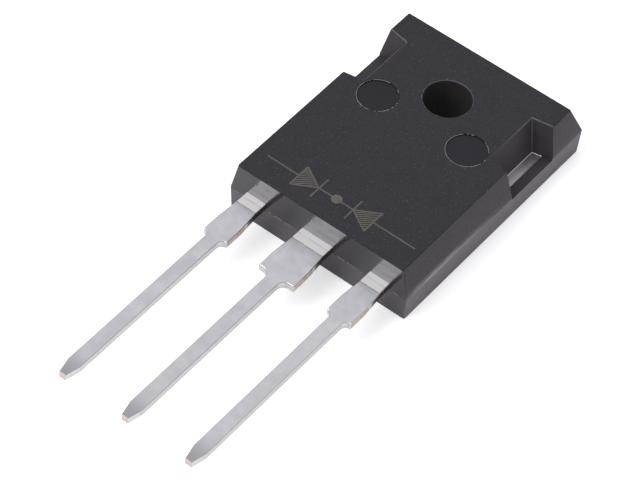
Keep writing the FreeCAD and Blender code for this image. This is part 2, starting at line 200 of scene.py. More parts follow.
def buildDrawnStreaks():
    # long thin marks along one direction: rolling, shearing, the pull out of the mould
    tree, given, result = newGroup("drawnStreaks", [("Scaling", "Vector", (1, 1, 1))], ["Value"])
    narrow = stretch(tree, given["Vector"], given["Scaling"])
    broad = noise(tree, narrow, 1, streakMix["broadDetail"], streakMix["broadRough"])
    fine = noise(tree, narrow, streakMix["fineScale"])
    broad = times(tree, broad, streakMix["broadShare"])
    total = plus(tree, broad, times(tree, fine, streakMix["fineShare"]))
    feed(tree, result, {"Value": spread(tree, total, *noiseSpan)})
    return tree


def buildBrokenBand():
    # a band round one level of a coordinate, with ragged gaps along it: scuffs with a painted highlight,
    # creases with painted shade, a sheared stretch
    tree, given, result = newGroup("brokenBand", [
        ("Coordinate", "Float", 0.0), ("Level", "Float", 0.0), ("Half Width", "Float", 0.1),
        ("Softness", "Float", 0.05), ("Gap Size", "Float", 0.5), ("Gap Share", "Float", 0.3)], ["Mask"])
    away = calc(tree, "ABSOLUTE", minus(tree, given["Coordinate"], given["Level"]))
    outer = plus(tree, given["Half Width"], given["Softness"])
    near = spread(tree, away, given["Half Width"], outer, 1, 0, smooth=True)
    perGap = over(tree, 1, given["Gap Size"])
    patches = noise(tree, given["Vector"], perGap, bandMix["detail"], bandMix["rough"])
    threshold = spread(tree, given["Gap Share"], 0, 1, *bandMix["thresholds"])
    kept = spread(tree, minus(tree, patches, threshold), *bandMix["ragged"])
    feed(tree, result, {"Mask": times(tree, near, kept)})
    return tree


mouldGrain = buildMouldGrain()
scatteredSpecks = buildScatteredSpecks()
drawnStreaks = buildDrawnStreaks()
brokenBand = buildBrokenBand()


def useGroup(tree, group, **inputs):
    inputs = {name.replace("_", " "): value for name, value in inputs.items()}
    return add(tree, "ShaderNodeGroup", inputs, node_tree=group).outputs


def strewnDots(tree, inMm, look, kind):
    return useGroup(tree, scatteredSpecks, Vector=inMm, Spacing=look[kind + "Spacing"],
                    Dot_Size=look[kind + "Size"], Share=look[kind + "Share"])


def newMaterial(name):
    # a material with its shader, and the object's own coordinates in millimetres, whole and split in three
    material = bpy.data.materials.new(name)
    material.use_nodes = True
    tree = material.node_tree
    tree.nodes.clear()
    shader = add(tree, "ShaderNodeBsdfPrincipled")
    add(tree, "ShaderNodeOutputMaterial", {"Surface": shader.outputs[0]})
    place = add(tree, "ShaderNodeTexCoord").outputs["Object"]
    inMm = stretch(tree, place, (1 / mm, 1 / mm, 1 / mm))
    axes = add(tree, "ShaderNodeSeparateXYZ", {"Vector": inMm}).outputs
    return material, tree, shader, inMm, axes


def bumped(tree, height, relief):
    inputs = {"Height": height, "Distance": relief * mm, "Strength": 1.0}
    return add(tree, "ShaderNodeBump", inputs).outputs["Normal"]


# finishes of the epoxy moulding

mouldingFinishes = {
    "mouldedTop": {
        "colour": tone(3, 2, 7), "cloudColour": tone(38, 36, 45), "specular": 0.48,
        "roughness": 0.56, "roughSpread": 0.08, "grain": 0.085, "relief": 0.012, "fine": 0.8, "streaks": 0.0,
        "speckColour": tone(104, 102, 111), "speckSpacing": 0.18, "speckSize": 0.042, "speckShare": 0.45},
    "mouldedMark": {
        "colour": tone(13, 12, 24), "cloudColour": tone(19, 18, 31), "specular": 0.37,
        "roughness": 0.46, "roughSpread": 0.05, "grain": 0.13, "relief": 0.003, "fine": 0.3, "streaks": 0.0,
        "speckColour": tone(80, 78, 96), "speckSpacing": 0.4, "speckSize": 0.035, "speckShare": 0.2},
    "mouldedRim": {
        "colour": tone(22, 21, 27), "cloudColour": tone(30, 28, 36), "specular": 0.3,
        "roughness": 0.55, "roughSpread": 0.1, "grain": 0.1, "relief": 0.006, "fine": 0.3, "streaks": 0.0,
        "speckColour": tone(120, 117, 125), "speckSpacing": 0.25, "speckSize": 0.05, "speckShare": 0.35},
    "mouldedWall": {
        "colour": tone(35, 30, 38), "cloudColour": tone(71, 65, 74), "specular": 0.25,
        "roughness": 0.45, "roughSpread": 0.08, "grain": 0.11, "relief": 0.006, "fine": 0.8, "streaks": 0.35,
        "speckColour": tone(112, 105, 114), "speckSpacing": 0.4, "speckSize": 0.045, "speckShare": 0.3},
    "mouldedNotch": {
        "colour": tone(54, 51, 56), "cloudColour": tone(65, 61, 67), "specular": 0.2,
        "roughness": 0.5, "roughSpread": 0.08, "grain": 0.11, "relief": 0.006, "fine": 0.3, "streaks": 0.3,
        "speckColour": tone(112, 107, 114), "speckSpacing": 0.4, "speckSize": 0.045, "speckShare": 0.3},
    # painted highlight: a lighter, shinier finish for the rounded edges round the hole, at the back and up
    # the notch corners
    "mouldedEdge": {
        "colour": tone(76, 72, 80), "cloudColour": tone(90, 86, 94), "specular": 0.5,
        "roughness": 0.36, "roughSpread": 0.08, "grain": 0.1, "relief": 0.006, "fine": 0.3, "streaks": 0.0,
        "speckColour": tone(132, 128, 136), "speckSpacing": 0.2, "speckSize": 0.05, "speckShare": 0.4},
    "mouldedFront": {
        "colour": tone(34, 30, 38), "cloudColour": tone(41, 37, 45), "specular": 0.75,
        "roughness": 0.15, "roughSpread": 0.08, "grain": 0.3, "relief": 0.0012, "fine": 0.3, "streaks": 0.5,
        "speckColour": tone(104, 100, 104), "speckSpacing": 0.45, "speckSize": 0.035, "speckShare": 0.25},
    "mouldedBore": {
        "colour": tone(44, 42, 41), "cloudColour": tone(50, 48, 47), "specular": 0.3,
        "roughness": 0.6, "roughSpread": 0.05, "grain": 0.2, "relief": 0.004, "fine": 0.3, "streaks": 0.4,
        "speckColour": tone(66, 66, 63), "speckSpacing": 0.5, "speckSize": 0.03, "speckShare": 0.2},
    # mould flash, and the painted highlight round the screw hole
    "mouldFlashAndRimHighlight": {
        "colour": tone(112, 108, 110), "cloudColour": tone(172, 168, 170), "specular": 0.4,
        "roughness": 0.5, "roughSpread": 0.1, "grain": 0.12, "relief": 0.004, "fine": 0.3, "streaks": 0.2,
        "speckColour": tone(215, 212, 214), "speckSpacing": 0.2, "speckSize": 0.06, "speckShare": 0.4},
    "laserMark": {
        "colour": tone(90, 86, 83), "cloudColour": tone(102, 97, 93), "specular": 0.2,
        "roughness": 0.75, "roughSpread": 0.06, "grain": 0.05, "relief": 0.01, "fine": 0.3, "streaks": 0.0,
        "speckColour": tone(60, 58, 56), "speckSpacing": 0.13, "speckSize": 0.05, "speckShare": 0.45},
}
mouldingMix = {
    "grainSpan": (0.45, 0.95), "roughSpan": (0.3, 1.1), "speckStrength": 0.8,
    "dragScaling": (9, 9, 0.5), "dragRoughness": 0.2,
}
# below the parting line these walls are lighter
skirt = {
    "softness": 0.1,
    "mouldedWall": (tone(89, 85, 92), tone(121, 117, 124)),
    "mouldedFront": (tone(57, 53, 60), tone(67, 63, 70)),
}
# the side walls are rubbed along the parting line and carry a painted highlight of its edge, most of all in
# their front half
partingRubAndHighlight = {
    "colour": tone(166, 163, 170), "drag": (1, 0.4, 4), "start": 3.0, "startLeast": 0.25,
    "fadeFrom": -11.5, "fadeTo": -3.5, "fadeLeast": 0.06,
}
# rubbing and a painted highlight along the parting edge: one broad soft haze and two thin bright lines
rubAndHighlightBands = [
    {"above": 0.08, "halfWidth": 0.02, "softness": 0.5, "gap": 1.4, "share": 0.12, "strength": 0.36},
    {"above": 0.04, "halfWidth": 0.04, "softness": 0.05, "gap": 0.4, "share": 0.3, "strength": 1.0},
    {"above": 0.24, "halfWidth": 0.03, "softness": 0.05, "gap": 0.5, "share": 0.45, "strength": 0.75},
]


def rubAndHighlightAlongParting(tree, inMm, axes, colour):
    towardBack = spread(tree, axes["Y"], partingRubAndHighlight["fadeFrom"], partingRubAndHighlight["fadeTo"], 1, partingRubAndHighlight["fadeLeast"])
    fromFront = minus(tree, axes["Y"], frontY / mm)
    started = spread(tree, fromFront, 0, partingRubAndHighlight["start"], partingRubAndHighlight["startLeast"], 1, smooth=True)
    fade = calc(tree, "MINIMUM", towardBack, started)
    for rubGleamLook in rubAndHighlightBands:
        band = useGroup(
            tree, brokenBand, Vector=stretch(tree, inMm, partingRubAndHighlight["drag"]), Coordinate=axes["Z"],
            Level=partingZ / mm + rubGleamLook["above"], Half_Width=rubGleamLook["halfWidth"],
            Softness=rubGleamLook["softness"], Gap_Size=rubGleamLook["gap"], Gap_Share=rubGleamLook["share"])
        rubAndGleam = times(tree, times(tree, band["Mask"], fade), rubGleamLook["strength"])
        # painted highlight, with rubbing wear, blended in along the parting line
        colour = blend(tree, rubAndGleam, colour, partingRubAndHighlight["colour"])
    return colour


def buildMoulding(name, look):
    material, tree, shader, inMm, axes = newMaterial(name)
    grain = useGroup(tree, mouldGrain, Vector=inMm, Grain_Size=look["grain"])
    specks = strewnDots(tree, inMm, look, "speck")
    drag = useGroup(tree, drawnStreaks, Vector=inMm, Scaling=mouldingMix["dragScaling"])["Value"]
    cloud = spread(tree, grain["Cloud"], *noiseSpan)
    mottle = blendValue(tree, look["fine"], cloud, spread(tree, grain["Height"], *mouldingMix["grainSpan"]))
    colour = blend(tree, mottle, look["colour"], look["cloudColour"])
    if name in skirt:
        below = spread(tree, axes["Z"], partingZ / mm - skirt["softness"], partingZ / mm, 1, 0)
        colour = blend(tree, below, colour, blend(tree, mottle, *skirt[name]))
    if name == "mouldedWall":
        colour = rubAndHighlightAlongParting(tree, inMm, axes, colour)
    speck = times(tree, specks["Mask"], times(tree, specks["Strength"], mouldingMix["speckStrength"]))
    limits = around(look["roughness"], (-look["roughSpread"], look["roughSpread"]))
    rough = spread(tree, grain["Height"], *mouldingMix["roughSpan"], *limits)
    dragged = times(tree, minus(tree, drag, 0.5), look["streaks"] * mouldingMix["dragRoughness"])
    height = plus(tree, grain["Height"], times(tree, drag, look["streaks"]))
    feed(tree, shader, {
        "Base Color": blend(tree, speck, colour, look["speckColour"]), "Specular IOR Level": look["specular"],
        "Roughness": plus(tree, rough, dragged), "Normal": bumped(tree, height, look["relief"])})
    return material


# finishes of the metal

# the colour of pits in the plating, also used as painted shade in the root's creases
pitAndCreaseShadeColour = tone(120, 118, 122)
flatPlate = {
    "colour": tone(226, 226, 231), "shade": tone(209, 209, 214),
    "roughness": 0.3, "roughSpread": (-0.04, 0.05),
    "rolling": (14, 0.6, 1), "rollingShare": 0.35, "rollingRelief": 0.6, "grainScale": 26, "relief": 0.0016,
    "cloudScale": 0.9, "cloudDetail": 4, "cloudRough": 0.6, "cloudSpan": (0.35, 0.65),
    "pitSpacing": 0.33, "pitSize": 0.035, "pitShare": 0.16, "pitStrength": 0.6,
}
# the stretch nearest the body, scoured where the mould shut on it: two bands, a crease at the far end of
# each, painted darker as shade
root = {
    "length": 1.1, "line": 0.45, "colour": tone(244, 242, 240), "innerColour": tone(248, 247, 252),
    "endBlur": (-0.05, 0.02), "lineBlur": (-0.04, 0.04), "roughness": 0.2, "metal": 0.62,
    "lineCrease": 0.012, "endCrease": 0.02, "creaseBlur": 0.03, "creaseGap": 0.35, "creaseGapShare": 0.35,
    "creaseShade": 0.45, "creaseDepth": 3,
}
tipWear = {"from": 0.6, "length": 3.2, "most": 0.75, "colour": tone(162, 161, 165)}
# punched side faces, and the upper edges that punching rolls over, which are painted darker as shade
edgePlate = {"colour": tone(224, 223, 220), "shade": tone(196, 194, 190), "roughness": 0.24}
shadedRollPlate = {"colour": tone(196, 196, 203), "shade": tone(172, 172, 180), "roughness": 0.24}
punching = {"scaling": (6, 6, 1.2), "share": 0.5, "roughSpread": (-0.06, 0.08), "relief": 0.004}
# the bar between the leads was sheared off here, and nearer the body the sides are painted darker as shade,
# for the dark body they mirror
dam = {
    "from": 2.4, "to": 4.4, "colour": tone(222, 208, 192), "streak": tone(168, 146, 128),
    "inset": 0.05, "blur": 0.15, "gap": 0.5, "gapShare": 0.12,
    "bodyShadeTo": 1.9, "bodyShadeBlur": 0.3, "bodyShadeColour": tone(118, 104, 94),
}
copper = {
    "colour": tone(226, 211, 203), "shade": tone(202, 178, 167),
    "smear": (1.5, 1, 9), "roughness": (0.28, 0.45),
    "border": (0.036, 0.096), "borderColour": tone(226, 222, 219), "relief": 0.004,
}


def buildPlatedFlat():
    # satin tin on the rolled faces, scoured where the mould shut on the root and dull towards the tip
    material, tree, shader, inMm, axes = newMaterial("platedFlat")
    look = flatPlate
    rolled = useGroup(tree, drawnStreaks, Vector=inMm, Scaling=look["rolling"])["Value"]
    cloud = noise(tree, inMm, look["cloudScale"], look["cloudDetail"], look["cloudRough"])
    fromFace = minus(tree, frontY / mm, axes["Y"])
    colour = blend(tree, spread(tree, cloud, *look["cloudSpan"]), look["colour"], look["shade"])
    colour = blend(tree, times(tree, rolled, look["rollingShare"]), colour, look["shade"])
    onRoot = spread(tree, fromFace, *around(root["length"], root["endBlur"]), 1, 0)
    inner = spread(tree, fromFace, *around(root["line"], root["lineBlur"]), 1, 0)
    colour = blend(tree, onRoot, colour, blend(tree, inner, root["colour"], root["innerColour"]))
    fromTip = plus(tree, minus(tree, axes["Y"], tipY / mm), cloud)
    worn = spread(tree, fromTip, tipWear["from"], tipWear["length"], tipWear["most"], 0, smooth=True)
    colour = blend(tree, worn, colour, tipWear["colour"])
    creases = []
    for level, halfWidth in ((root["line"], root["lineCrease"]), (root["length"], root["endCrease"])):
        band = useGroup(
            tree, brokenBand, Vector=inMm, Coordinate=fromFace, Level=level, Half_Width=halfWidth,
            Softness=root["creaseBlur"], Gap_Size=root["creaseGap"], Gap_Share=root["creaseGapShare"])
        creases.append(band["Mask"])
    crease = calc(tree, "MAXIMUM", *creases)
    # painted shade: the creases are darkened towards the pit colour
    colour = blend(tree, times(tree, crease, root["creaseShade"]), colour, pitAndCreaseShadeColour)
    pits = strewnDots(tree, inMm, look, "pit")
    pit = times(tree, pits["Mask"], times(tree, pits["Strength"], look["pitStrength"]))
    rough = spread(tree, cloud, *noiseSpan, *around(look["roughness"], look["roughSpread"]))
    height = plus(tree, noise(tree, inMm, look["grainScale"]), times(tree, rolled, look["rollingRelief"]))
    height = minus(tree, height, times(tree, crease, root["creaseDepth"]))
    feed(tree, shader, {
        "Base Color": blend(tree, pit, colour, pitAndCreaseShadeColour),
        "Metallic": blendValue(tree, onRoot, 1.0, root["metal"]),
        "Roughness": blendValue(tree, onRoot, rough, root["roughness"]),
        "Normal": bumped(tree, height, look["relief"])})
    return material


def buildPlatedEdge(name, look, sheared=False):
    # bright punched metal; the long sides have a bare streaky stretch where the bar was sheared off, and
    # painted shade nearer the body
    material, tree, shader, inMm, axes = newMaterial(name)
    punched = useGroup(tree, drawnStreaks, Vector=inMm, Scaling=punching["scaling"])["Value"]
    colour = blend(tree, times(tree, punched, punching["share"]), look["colour"], look["shade"])
    if sheared:
        fromFace = minus(tree, frontY / mm, axes["Y"])
        middle, reach = (dam["from"] + dam["to"]) / 2, (dam["to"] - dam["from"]) / 2
        cut = useGroup(
            tree, brokenBand, Vector=inMm, Coordinate=fromFace, Level=middle, Half_Width=reach - dam["inset"],
            Softness=dam["blur"], Gap_Size=dam["gap"], Gap_Share=dam["gapShare"])
        bare = blend(tree, punched, dam["colour"], dam["streak"])
        colour = blend(tree, cut["Mask"], colour, bare)
        # painted shade: the sides darken towards the body, standing in for its dark reflection
        nearBodyShade = spread(tree, fromFace, dam["bodyShadeTo"], dam["bodyShadeTo"] + dam["bodyShadeBlur"], 1, 0, smooth=True)
        colour = blend(tree, nearBodyShade, colour, dam["bodyShadeColour"])
    limits = around(look["roughness"], punching["roughSpread"])
    feed(tree, shader, {
        "Base Color": colour, "Metallic": 1.0, "Roughness": spread(tree, punched, 0, 1, *limits),
        "Normal": bumped(tree, punched, punching["relief"])})
    return material


def buildCutCopper():
    # the tips are cut after plating, so copper shows inside a pale rim
    material, tree, shader, inMm, axes = newMaterial("cutCopper")
    smear = useGroup(tree, drawnStreaks, Vector=inMm, Scaling=copper["smear"])["Value"]
    colour = blend(tree, smear, copper["colour"], copper["shade"])
    fromTop = minus(tree, leadTopZ / mm, axes["Z"])
    fromBottom = minus(tree, axes["Z"], partingZ / mm)
    rim = spread(tree, calc(tree, "MINIMUM", fromTop, fromBottom), *copper["border"], 1, 0)
    feed(tree, shader, {
        "Base Color": blend(tree, rim, colour, copper["borderColour"]), "Metallic": 1.0,
        "Roughness": spread(tree, smear, 0, 1, *copper["roughness"]),
        "Normal": bumped(tree, smear, copper["relief"])})
    return material


tabPlate = {
    "colour": tone(214, 212, 214), "stain": tone(180, 175, 170),
    "roughness": 0.36, "roughSpread": (-0.05, 0.12),
    "rolling": (8, 0.35, 1), "rollingShare": 0.4, "grainScale": 14, "relief": 0.002,
    "stainScale": 0.45, "stainDetail": 4, "stainRough": 0.65, "stainSpan": (0.45, 0.75), "stainShare": 0.5,
    "pitSpacing": 0.4, "pitSize": 0.04, "pitShare": 0.2, "pitStrength": 0.5,
}


def buildTabPlate():
    # nickel on the tab: the heatsink face below, and the strips that show in the side notches
    material, tree, shader, inMm = newMaterial("tabPlate")[:4]
    look = tabPlate
    rolled = useGroup(tree, drawnStreaks, Vector=inMm, Scaling=look["rolling"])["Value"]
    blots = noise(tree, inMm, look["stainScale"], look["stainDetail"], look["stainRough"])
    stains = spread(tree, blots, *look["stainSpan"])
    colour = blend(tree, times(tree, rolled, look["rollingShare"]), look["colour"], look["stain"])
    colour = blend(tree, times(tree, stains, look["stainShare"]), colour, look["stain"])
    pit = times(tree, strewnDots(tree, inMm, look, "pit")["Mask"], look["pitStrength"])
    height = plus(tree, rolled, noise(tree, inMm, look["grainScale"]))
    limits = around(look["roughness"], look["roughSpread"])
    feed(tree, shader, {
        "Base Color": blend(tree, pit, colour, pitAndCreaseShadeColour), "Metallic": 1.0,
        "Roughness": spread(tree, stains, 0, 1, *limits), "Normal": bumped(tree, height, look["relief"])})
    return material


innerFinishes = {
    "silicon": {
        "colour": tone(92, 92, 104), "shade": tone(70, 66, 86),
        "metallic": 0.3, "roughness": 0.22, "grain": 0.5},
    "solder": {
        "colour": tone(182, 182, 184), "shade": tone(150, 149, 150),
        "metallic": 1.0, "roughness": 0.42, "grain": 0.16},
    "bondWire": {
        "colour": tone(222, 222, 224), "shade": tone(196, 196, 200),
        "metallic": 1.0, "roughness": 0.3, "grain": 0.12},
}
innerMix = {
    "cloudSize": 0.7, "drawing": (12, 0.8, 12), "span": (0.2, 0.8),
    "roughSpread": (-0.06, 0.1), "relief": 0.002,
}


def buildInner(name, look):
    # chips, solder and wires, which the moulding hides
    material, tree, shader, inMm = newMaterial(name)[:4]
    grain = useGroup(tree, mouldGrain, Vector=inMm,
                     Grain_Size=look["grain"], Cloud_Size=innerMix["cloudSize"])
    drawn = useGroup(tree, drawnStreaks, Vector=inMm, Scaling=innerMix["drawing"])["Value"]
    mixed = times(tree, plus(tree, grain["Cloud"], drawn), 0.5)
    limits = around(look["roughness"], innerMix["roughSpread"])
    feed(tree, shader, {
        "Base Color": blend(tree, mixed, look["colour"], look["shade"]), "Metallic": look["metallic"],
        "Roughness": spread(tree, mixed, *innerMix["span"], *limits),
        "Normal": bumped(tree, grain["Height"], innerMix["relief"])})
    return material


finishes = {name: buildMoulding(name, look) for name, look in mouldingFinishes.items()}
finishes["platedFlat"] = buildPlatedFlat()
finishes["platedEdge"] = buildPlatedEdge("platedEdge", edgePlate)
finishes["platedRoll"] = buildPlatedEdge("platedRoll", shadedRollPlate)
finishes["platedSide"] = buildPlatedEdge("platedSide", edgePlate, sheared=True)
finishes["cutCopper"] = buildCutCopper()
finishes["tabPlate"] = buildTabPlate()
for name, look in innerFinishes.items():
    finishes[name] = buildInner(name, look)
print("finishes built:", ", ".join(sorted(finishes)))


# dressed copies of the CAD pieces, with real soft edges

joining = {"doubles": 0.00002, "hairEdge": 0.01, "flatAngle": 0.3}


@contextmanager
def edited(mesh):
    # the mesh opened for bmesh work, and written back when the block ends
    work = bmesh.new()
    work.from_mesh(mesh)
    yield work
    work.to_mesh(mesh)
    work.free()


def addObject(name, data):
    holder = bpy.data.objects.new(name, data)
    scene.collection.objects.link(holder)
    return holder


def mergedCopy(nodeName, pieceName, cutLevelY=None):
    # the node's loose triangles joined up, hair-thin ones taken out and flat faces made whole again
    mesh = frame["nodes"][nodeName].data.copy()
    mesh.name = pieceName
    mesh.materials.clear()
    with edited(mesh) as work:
        bmesh.ops.remove_doubles(work, verts=work.verts, dist=joining["doubles"] * mm)
        bmesh.ops.dissolve_degenerate(work, edges=work.edges, dist=joining["hairEdge"] * mm)
        flatAngle = math.radians(joining["flatAngle"])
        bmesh.ops.dissolve_limit(work, angle_limit=flatAngle, verts=work.verts, edges=work.edges)
        if cutLevelY is not None:
            everything = work.verts[:] + work.edges[:] + work.faces[:]
            bmesh.ops.bisect_plane(work, geom=everything, plane_co=(0, cutLevelY, 0), plane_no=(0, 1, 0))
        for layer in [layer for layer in mesh.attributes if layer.name == "custom_normal"]:
            mesh.attributes.remove(layer)
    return addObject(pieceName, mesh)


def softenEdges(piece, widthOf, segments, clamp):
    # bevels each edge by the width in millimetres that widthOf gives for it
    with edited(piece.data) as work:
        work.normal_update()
        widths = [widthOf(edge) for edge in work.edges]
        widest = max(widths)
        layer = work.edges.layers.float.new("bevel_weight_edge")
        for edge, width in zip(work.edges, widths):
            edge[layer] = width / widest
    bevel = piece.modifiers.new("softEdges", "BEVEL")
    bevel.limit_method = "WEIGHT"
    bevel.width = widest * mm
    bevel.segments = segments
    bevel.use_clamp_overlap = clamp
    bevel.miter_outer = "MITER_ARC"
    plainMesh(piece)
    print(piece.name, "softened:", sum(width > 0 for width in widths), "edges")


def plainMesh(piece):
    # the evaluated result becomes the piece's own mesh, and its modifiers go
    depsgraph = bpy.context.evaluated_depsgraph_get()
    result = bpy.data.meshes.new_from_object(piece.evaluated_get(depsgraph))
    piece.modifiers.clear()
    piece.data = result


def smoothFaces(piece, sharpAngle):
    # smooth shading that stops at edges sharper than the angle, and keeps big flat faces flat
    with edited(piece.data) as work:
        for face in work.faces:
            face.smooth = True
        for edge in work.edges:
            edge.smooth = edge.calc_face_angle(math.pi) < math.radians(sharpAngle)
    weighting = piece.modifiers.new("flatFacesFirst", "WEIGHTED_NORMAL")
    weighting.keep_sharp = True
    weighting.weight = 100
    plainMesh(piece)


def paintFaces(piece, names, choose):
    # gives each face the finish that choose names for it
    for name in names:
        piece.data.materials.append(finishes[name])
    for face in piece.data.polygons:
        face.material_index = names.index(choose(face.center, face.normal))


def standsFor(piece, nodeName):
    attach(piece, "root")
    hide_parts(nodeName)


# moulded body

moulding = {
    "holeEdge": 0.07, "outlineEdge": 0.05, "smallestBend": 40.0, "segments": 3, "sharpAngle": 33.0,
    "markRadius": 1.55, "markSpacing": 7.92, "markFromFront": 11.7, "rimDepth": 0.11, "topSink": 0.006,
    "rimReach": 1.0, "notchFromMiddle": 5.2, "notchHalfLength": 2.9, "notchFloor": 1.95,
    "near": 0.02, "topBand": 0.0005, "outlineSlack": 0.3, "frontReach": 0.2,
    "levelNormal": 0.97, "frontNormal": -0.7, "boreNormal": 0.1,
}


def markCentres():
    y = frontY + moulding["markFromFront"] * mm
    return [Vector((side * moulding["markSpacing"] / 2 * mm, y, topZ)) for side in (-1, 1)]


def flatReach(point, centre):
    return math.hypot(point.x - centre.x, point.y - centre.y)


def onOutline(point):
    # clear of the cavity that the tab, leads and chips fill
    slack = moulding["outlineSlack"] * mm
    sides = abs(point.x) > halfWidth - slack
    return sides or point.y < frontY + slack or point.y > backY - slack


def mouldingEdgeKind(edge):
    # the hole's two rims and the bottom outline; the other edges are rounded in the CAD piece, or crisp
    if len(edge.link_faces) != 2 or math.degrees(edge.calc_face_angle_signed(0)) < moulding["smallestBend"]:
        return None
    ends = [vert.co for vert in edge.verts]
    near = moulding["near"] * mm
    low = all(end.z < near for end in ends)
    high = all(end.z > topZ - near for end in ends)
    if (low or high) and all(abs(flatReach(end, Vector()) - holeRadius) < near for end in ends):
        return "holeEdge"
    if low and all(onOutline(end) for end in ends):
        return "outlineEdge"
    return None


def sinkTop(piece):
    # lets the marks and the flash stand a hair proud of the top, still inside the part's height
    for vert in piece.data.vertices:
        if vert.co.z > topZ - moulding["topBand"] * mm:
            vert.co.z -= moulding["topSink"] * mm


def notchFinish(centre, level, high):
    # the walls and the ledge of a side notch, with a painted highlight on the rim at its back, or nothing
    # outside a notch
    beside = abs(centre.x) > moulding["notchFromMiddle"] * mm
    if not beside or abs(centre.y) > moulding["notchHalfLength"] * mm:
        return None
    if level:
        return None if high else "mouldedNotch"
    if centre.z < moulding["notchFloor"] * mm:
        return None
    return "mouldedEdge" if high and centre.y > 0 else "mouldedNotch"


def rimFinish(centre, fromHole):
    # the rounded edge of the top: a painted highlight round the hole and at the back, dark in front
    reach = moulding["rimReach"] * mm
    if fromHole < (moulding["holeEdge"] + moulding["near"]) * mm or centre.y > backY - reach:
        return "mouldedEdge"
    return "mouldedRim" if centre.y < frontY + reach else "mouldedTop"


def mouldingFinish(centre, normal):
    high = centre.z > topZ - moulding["rimDepth"] * mm
    level = normal.z > moulding["levelNormal"]
    if high and min(flatReach(centre, mark) for mark in markCentres()) < moulding["markRadius"] * mm:
        return "mouldedMark"
    fromHole = flatReach(centre, Vector()) - holeRadius
    if fromHole < moulding["near"] * mm and abs(normal.z) < moulding["boreNormal"]:
        return "mouldedBore"
    inNotch = notchFinish(centre, level, high)
    if inNotch:
        return inNotch
    if high:
        return "mouldedTop" if level else rimFinish(centre, fromHole)
    if centre.y < frontY + moulding["frontReach"] * mm and normal.y < moulding["frontNormal"]:
        return "mouldedFront"
    return "mouldedWall"


def mouldingEdgeWidth(edge, kind):
    return moulding[kind] if mouldingEdgeKind(edge) == kind else 0


body = mergedCopy("moulded_body", "moulding")
for kind in ("holeEdge", "outlineEdge"):
    softenEdges(body, lambda edge: mouldingEdgeWidth(edge, kind), moulding["segments"], clamp=True)
sinkTop(body)
smoothFaces(body, moulding["sharpAngle"])
paintFaces(body, [name for name in mouldingFinishes if name.startswith("moulded")], mouldingFinish)
standsFor(body, "moulded_body")
print("moulding dressed:", len(body.data.polygons), "faces")


# leads and tab

leadEdges = {
    "upper": 0.075, "lower": 0.02, "upright": 0.05, "cut": 0.015, "smallestBend": 25.0, "segments": 3,
    "sharpAngle": 40.0, "wallInset": 0.02, "near": 0.01,
}
leadFaces = {
    "tabFrom": 0.5, "tipReach": 0.1,
    "tipNormal": -0.7, "flatNormal": 0.95, "rollNormal": 0.2, "sideNormal": 0.9,
}


def leadEdgeWidth(edge):
    # punching rolls the upper edges over and leaves the lower ones nearly sharp, as the cut does the tips
    if len(edge.link_faces) != 2:
        return 0
    bend = math.degrees(edge.calc_face_angle_signed(0))
    ends = [vert.co for vert in edge.verts]
    near = leadEdges["near"] * mm
    outside = all(end.y < frontY + leadEdges["wallInset"] * mm + near for end in ends)
    if not outside or bend < leadEdges["smallestBend"]:
        return 0
    if all(end.y < tipY + near for end in ends):
        return leadEdges["cut"]
    if all(end.z > leadTopZ - near for end in ends):
        return leadEdges["upper"]
    if all(end.z < partingZ + near for end in ends):
        return leadEdges["lower"]
    return leadEdges["upright"]


def leadFinish(centre, normal):
    if centre.y > frontY + leadFaces["tabFrom"] * mm:
        return "tabPlate"
    if normal.y < leadFaces["tipNormal"] and centre.y < tipY + leadFaces["tipReach"] * mm:
        return "cutCopper"
    if abs(normal.z) > leadFaces["flatNormal"]:
        return "platedFlat"
    # painted shade: the rolled upper edges take a darker finish
    if normal.z > leadFaces["rollNormal"]:
        return "platedRoll"
    return "platedSide" if abs(normal.x) > leadFaces["sideNormal"] else "platedEdge"


leadFinishes = ["platedFlat", "platedEdge", "platedRoll", "platedSide", "cutCopper", "tabPlate"]
leadPieces = {
    "left_anode_lead": "leftLead",
    "tab_with_cathode_lead": "tabAndMiddleLead",
    "right_anode_lead": "rightLead",
}
for nodeName, pieceName in leadPieces.items():
    lead = mergedCopy(nodeName, pieceName, cutLevelY=frontY + leadEdges["wallInset"] * mm)
    softenEdges(lead, leadEdgeWidth, leadEdges["segments"], clamp=False)
    smoothFaces(lead, leadEdges["sharpAngle"])
    paintFaces(lead, leadFinishes, leadFinish)
    standsFor(lead, nodeName)

# pieces sealed in the moulding keep their CAD shape
sealedNodes = set(frame["nodes"]) - set(leadPieces) - {"moulded_body"}
for nodeName in sorted(sealedNodes):
    if "bond_wire" in nodeName:
        finish = "bondWire"
    else:
        finish = "solder" if "solder" in nodeName else "silicon"
    surface = frame["nodes"][nodeName].data
    surface.materials.clear()
    surface.materials.append(finishes[finish])
print("leads dressed:", ", ".join(leadPieces.values()), "and", len(sealedNodes), "sealed pieces painted")


# marks, flash, a painted highlight round the screw hole and beads, each run by a geometry tree along edges
# drawn here

def newShape(name, inputs):
    geometry = ("Geometry", "Geometry")
    return newTree("GeometryNodeTree", name, [geometry, *inputs], [geometry])


def finishTree(tree, parts, material, result):
    joined = add(tree, "GeometryNodeJoinGeometry")
    for part in parts:
        tree.links.new(part, joined.inputs[0])
    real = add(tree, "GeometryNodeRealizeInstances", {"Geometry": joined.outputs[0]})
    painted = add(tree, "GeometryNodeSetMaterial", {"Geometry": real.outputs[0], "Material": material})
    feed(tree, result, {"Geometry": painted.outputs[0]})


def swept(tree, edges, profile):
    line = add(tree, "GeometryNodeMeshToCurve", {"Mesh": edges})
    return add(tree, "GeometryNodeCurveToMesh", {
        "Curve": line.outputs[0], "Profile Curve": profile, "Fill Caps": True}).outputs[0]


def flatProfile(tree, width, thickness):
    node = add(tree, "GeometryNodeCurvePrimitiveQuadrilateral", {"Width": width, "Height": thickness})
    return node.outputs[0]


